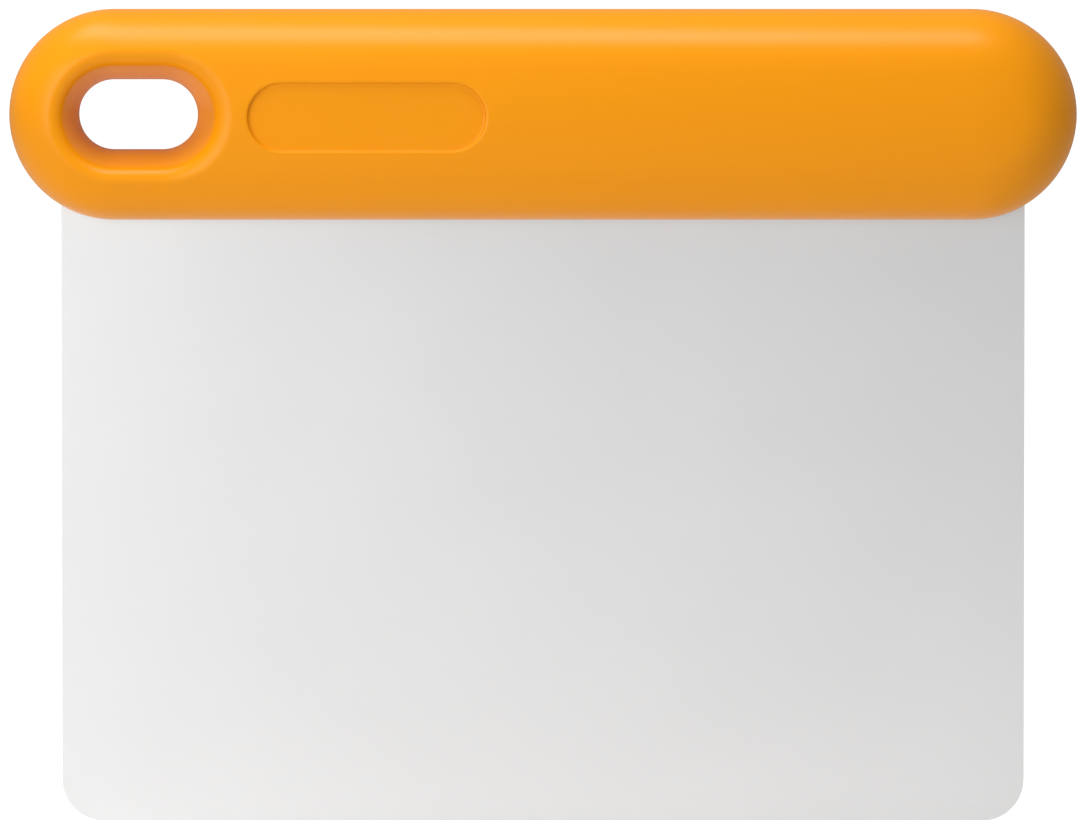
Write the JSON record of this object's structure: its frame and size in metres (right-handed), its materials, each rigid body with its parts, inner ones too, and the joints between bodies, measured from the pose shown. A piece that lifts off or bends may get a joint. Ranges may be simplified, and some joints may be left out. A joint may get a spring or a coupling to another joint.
{
  "type": "bench scraper",
  "caption": "Bench scraper: a flat rectangular steel blade with rounded lower corners in a thick rounded plastic handle, with a flared hanging slot at one end.",
  "frame": {"origin": "middle of the blade's working edge, halfway through the sheet, which is the middle of the base of the object's box", "axes": "+X along the handle, away from the hanging slot; +Y from the face with the recessed panel towards the plain rear face; +Z from the working edge up to the handle"},
  "size_m": [0.16, 0.02, 0.122],
  "materials": {
    "blade_steel": "fine satin stainless sheet",
    "grip_plastic": "soft satin moulded plastic, warm orange",
    "core_plastic": "glass-filled nylon, as moulded, hidden inside the grip"
  },
  "bodies": {
    "root": {"blade": "blade_steel", "core_front": "core_plastic", "core_rear": "core_plastic", "grip": "grip_plastic"}
  },
  "joints": []
}
